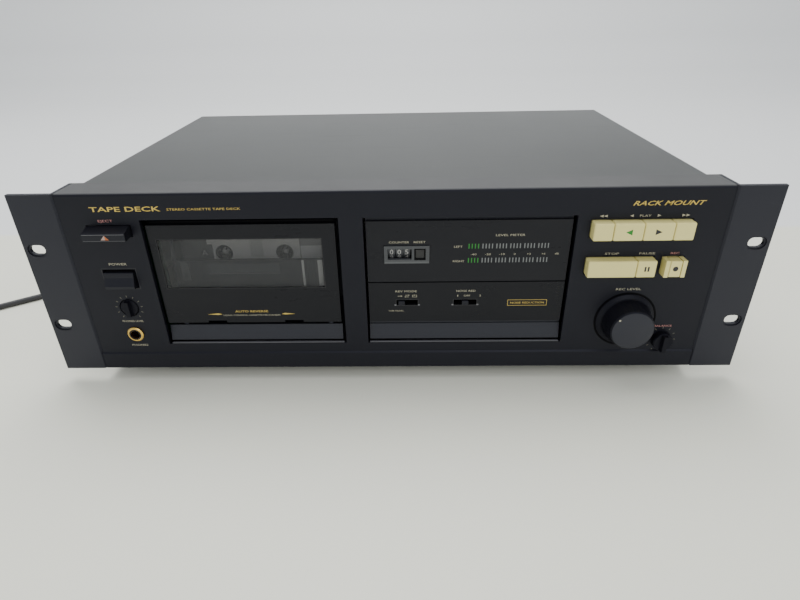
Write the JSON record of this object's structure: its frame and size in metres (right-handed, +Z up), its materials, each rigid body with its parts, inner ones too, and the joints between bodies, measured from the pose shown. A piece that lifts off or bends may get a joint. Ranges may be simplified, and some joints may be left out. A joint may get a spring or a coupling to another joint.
{
  "type": "rack-mount cassette deck",
  "caption": "Black rack-width stereo cassette deck with a cassette behind a smoked door, cream transport keys, counter, level meter and round record-level knob.",
  "frame": {"origin": "on the floor under the middle of the deck, its mains lead left out", "axes": "+X to the right seen from the front, -Y out of the front panel, +Z up"},
  "size_m": [0.6694, 0.3771, 0.1425],
  "materials": {
    "fascia_plastic": "fine satin moulding",
    "ear_metal": "satin paint",
    "cover_paint": "satin paint",
    "plated_steel": "zinc plated",
    "control_plastic": "satin",
    "smoked_pane": "polished, smoked",
    "clear_pane": "polished, lightly smoked",
    "key_plastic": "satin cream",
    "gilt_brass": "gilt",
    "circuit_board": "lacquered",
    "black_rubber": "matt",
    "grey_plastic": "satin",
    "white_plastic": "satin",
    "cord_sheath": "satin"
  },
  "bodies": {
    "deck": {"fascia": "fascia_plastic", "ear_left": "ear_metal", "ear_right": "ear_metal", "transport_plate": "ear_metal", "top_cover": "cover_paint", "bottom_chassis": "plated_steel", "power_transformer": "plated_steel", "capstan_motor": "plated_steel", "display_frame": "control_plastic", "rear_jack_block": "control_plastic", "display_window": "smoked_pane", "switch_panel": "smoked_pane", "rec_key_guard": "key_plastic", "phones_jack": "gilt_brass", "main_board": "circuit_board", "key_board": "circuit_board", "phones_board": "circuit_board", "meter_board": "circuit_board", "foot_front_left": "black_rubber", "foot_front_right": "black_rubber", "foot_rear_left": "black_rubber", "foot_rear_right": "black_rubber", "drive_belt": "black_rubber", "cord_plug": "black_rubber", "cord_strain_relief": "black_rubber", "counter_housing": "grey_plastic", "cord_lead": "cord_sheath", "cord_coil": "cord_sheath"},
    "door": {"cassette_carrier": "control_plastic", "door_panel": "smoked_pane", "door_window": "clear_pane", "cassette_shell": "grey_plastic"},
    "hub_left": {"cassette_hub_left": "white_plastic"},
    "hub_right": {"cassette_hub_right": "white_plastic"},
    "spindle_left": {"reel_spindle_left": "white_plastic"},
    "spindle_right": {"reel_spindle_right": "white_plastic"},
    "flywheel_left": {"capstan_left": "plated_steel"},
    "flywheel_right": {"capstan_right": "plated_steel"},
    "pulley": {"motor_pulley": "gilt_brass"},
    "head_plate": {"head_base": "plated_steel"},
    "roller_left": {"pinch_roller_left": "black_rubber"},
    "roller_right": {"pinch_roller_right": "black_rubber"},
    "drum_hundreds": {"counter_drum_hundreds": "control_plastic"},
    "drum_tens": {"counter_drum_tens": "control_plastic"},
    "drum_units": {"counter_drum_units": "control_plastic"},
    "reset": {"counter_reset_button": "control_plastic"},
    "eject": {"eject_button": "control_plastic"},
    "power": {"power_button": "control_plastic"},
    "rewind": {"key_rewind": "key_plastic"},
    "play_reverse": {"key_play_reverse": "key_plastic"},
    "play_forward": {"key_play_forward": "key_plastic"},
    "fast_forward": {"key_fast_forward": "key_plastic"},
    "stop": {"key_stop": "key_plastic"},
    "pause": {"key_pause": "key_plastic"},
    "record": {"key_record": "key_plastic"},
    "reverse_mode": {"reverse_mode_knob": "control_plastic"},
    "noise_reduction": {"noise_reduction_knob": "control_plastic"},
    "phones_level": {"phones_level_knob": "control_plastic"},
    "rec_level": {"rec_level_knob": "control_plastic"},
    "balance": {"balance_knob": "control_plastic"}
  },
  "joints": [
    {"name": "door_hinge", "type": "hinge", "parent": "deck", "child": "door", "pos_m": [-0.09575, -0.119, 0.035], "axis": [1, 0, 0], "range_deg": [0, 24]},
    {"name": "spindle_left_spin", "type": "hinge", "parent": "deck", "child": "spindle_left", "pos_m": [-0.117, -0.0965, 0.092], "axis": [0, 1, 0], "continuous": true},
    {"name": "hub_left_spin", "type": "hinge", "parent": "door", "child": "hub_left", "pos_m": [-0.117, -0.10315, 0.092], "axis": [0, 1, 0], "continuous": true},
    {"name": "flywheel_left_spin", "type": "hinge", "parent": "deck", "child": "flywheel_left", "pos_m": [-0.12875, -0.0845, 0.064], "axis": [0, 1, 0], "continuous": true},
    {"name": "roller_left_spin", "type": "hinge", "parent": "head_plate", "child": "roller_left", "pos_m": [-0.12875, -0.1023, 0.0495], "axis": [0, 1, 0], "continuous": true},
    {"name": "spindle_right_spin", "type": "hinge", "parent": "deck", "child": "spindle_right", "pos_m": [-0.0745, -0.0965, 0.092], "axis": [0, 1, 0], "continuous": true},
    {"name": "hub_right_spin", "type": "hinge", "parent": "door", "child": "hub_right", "pos_m": [-0.0745, -0.10315, 0.092], "axis": [0, 1, 0], "continuous": true},
    {"name": "flywheel_right_spin", "type": "hinge", "parent": "deck", "child": "flywheel_right", "pos_m": [-0.06275, -0.0845, 0.064], "axis": [0, 1, 0], "continuous": true},
    {"name": "roller_right_spin", "type": "hinge", "parent": "head_plate", "child": "roller_right", "pos_m": [-0.06275, -0.1023, 0.0495], "axis": [0, 1, 0], "continuous": true},
    {"name": "head_lift", "type": "slide", "parent": "deck", "child": "head_plate", "axis": [0, 0, 1], "range_m": [0, 0.006]},
    {"name": "pulley_spin", "type": "hinge", "parent": "deck", "child": "pulley", "pos_m": [-0.06475, -0.0845, 0.11], "axis": [0, 1, 0], "continuous": true},
    {"name": "drum_hundreds_turn", "type": "hinge", "parent": "deck", "child": "drum_hundreds", "pos_m": [0.0003, -0.1153, 0.098], "axis": [1, 0, 0], "continuous": true},
    {"name": "drum_tens_turn", "type": "hinge", "parent": "deck", "child": "drum_tens", "pos_m": [0.00535, -0.1153, 0.098], "axis": [1, 0, 0], "continuous": true},
    {"name": "drum_units_turn", "type": "hinge", "parent": "deck", "child": "drum_units", "pos_m": [0.0104, -0.1153, 0.098], "axis": [1, 0, 0], "continuous": true},
    {"name": "reset_press", "type": "slide", "parent": "deck", "child": "reset", "axis": [0, 1, 0], "range_m": [0, 0.0025], "stiffness_N_per_m": 100},
    {"name": "eject_press", "type": "slide", "parent": "deck", "child": "eject", "axis": [0, 1, 0], "range_m": [0, 0.0025], "stiffness_N_per_m": 300},
    {"name": "power_press", "type": "slide", "parent": "deck", "child": "power", "axis": [0, 1, 0], "range_m": [0, 0.003], "stiffness_N_per_m": 300},
    {"name": "rewind_press", "type": "slide", "parent": "deck", "child": "rewind", "axis": [0, 1, 0], "range_m": [0, 0.0015], "stiffness_N_per_m": 250},
    {"name": "play_reverse_press", "type": "slide", "parent": "deck", "child": "play_reverse", "axis": [0, 1, 0], "range_m": [0, 0.0015], "stiffness_N_per_m": 250},
    {"name": "play_forward_press", "type": "slide", "parent": "deck", "child": "play_forward", "axis": [0, 1, 0], "range_m": [0, 0.0015], "stiffness_N_per_m": 250},
    {"name": "fast_forward_press", "type": "slide", "parent": "deck", "child": "fast_forward", "axis": [0, 1, 0], "range_m": [0, 0.0015], "stiffness_N_per_m": 250},
    {"name": "stop_press", "type": "slide", "parent": "deck", "child": "stop", "axis": [0, 1, 0], "range_m": [0, 0.0015], "stiffness_N_per_m": 250},
    {"name": "pause_press", "type": "slide", "parent": "deck", "child": "pause", "axis": [0, 1, 0], "range_m": [0, 0.0015], "stiffness_N_per_m": 250},
    {"name": "record_press", "type": "slide", "parent": "deck", "child": "record", "axis": [0, 1, 0], "range_m": [0, 0.0015], "stiffness_N_per_m": 200},
    {"name": "reverse_mode_slide", "type": "slide", "parent": "deck", "child": "reverse_mode", "axis": [1, 0, 0], "range_m": [0, 0.0076]},
    {"name": "noise_reduction_slide", "type": "slide", "parent": "deck", "child": "noise_reduction", "axis": [1, 0, 0], "range_m": [-0.0038, 0.0038]},
    {"name": "phones_level_turn", "type": "hinge", "parent": "deck", "child": "phones_level", "pos_m": [-0.1825, -0.1285, 0.0605], "axis": [0, 1, 0], "range_deg": [-150, 150]},
    {"name": "rec_level_turn", "type": "hinge", "parent": "deck", "child": "rec_level", "pos_m": [0.1597, -0.1285, 0.0485], "axis": [0, 1, 0], "range_deg": [-150, 150]},
    {"name": "balance_turn", "type": "hinge", "parent": "deck", "child": "balance", "pos_m": [0.1875, -0.1285, 0.032], "axis": [0, 1, 0], "range_deg": [-150, 150]}
  ],
  "couplings": [
    {"joint": "hub_left_spin", "follows": "spindle_left_spin", "ratio": 1},
    {"joint": "hub_right_spin", "follows": "spindle_right_spin", "ratio": 1},
    {"joint": "flywheel_right_spin", "follows": "flywheel_left_spin", "ratio": -1},
    {"joint": "pulley_spin", "follows": "flywheel_left_spin", "ratio": 4.4848},
    {"joint": "drum_units_turn", "follows": "spindle_right_spin", "ratio": 0.5},
    {"joint": "drum_tens_turn", "follows": "spindle_right_spin", "ratio": 0.05},
    {"joint": "drum_hundreds_turn", "follows": "spindle_right_spin", "ratio": 0.005}
  ]
}
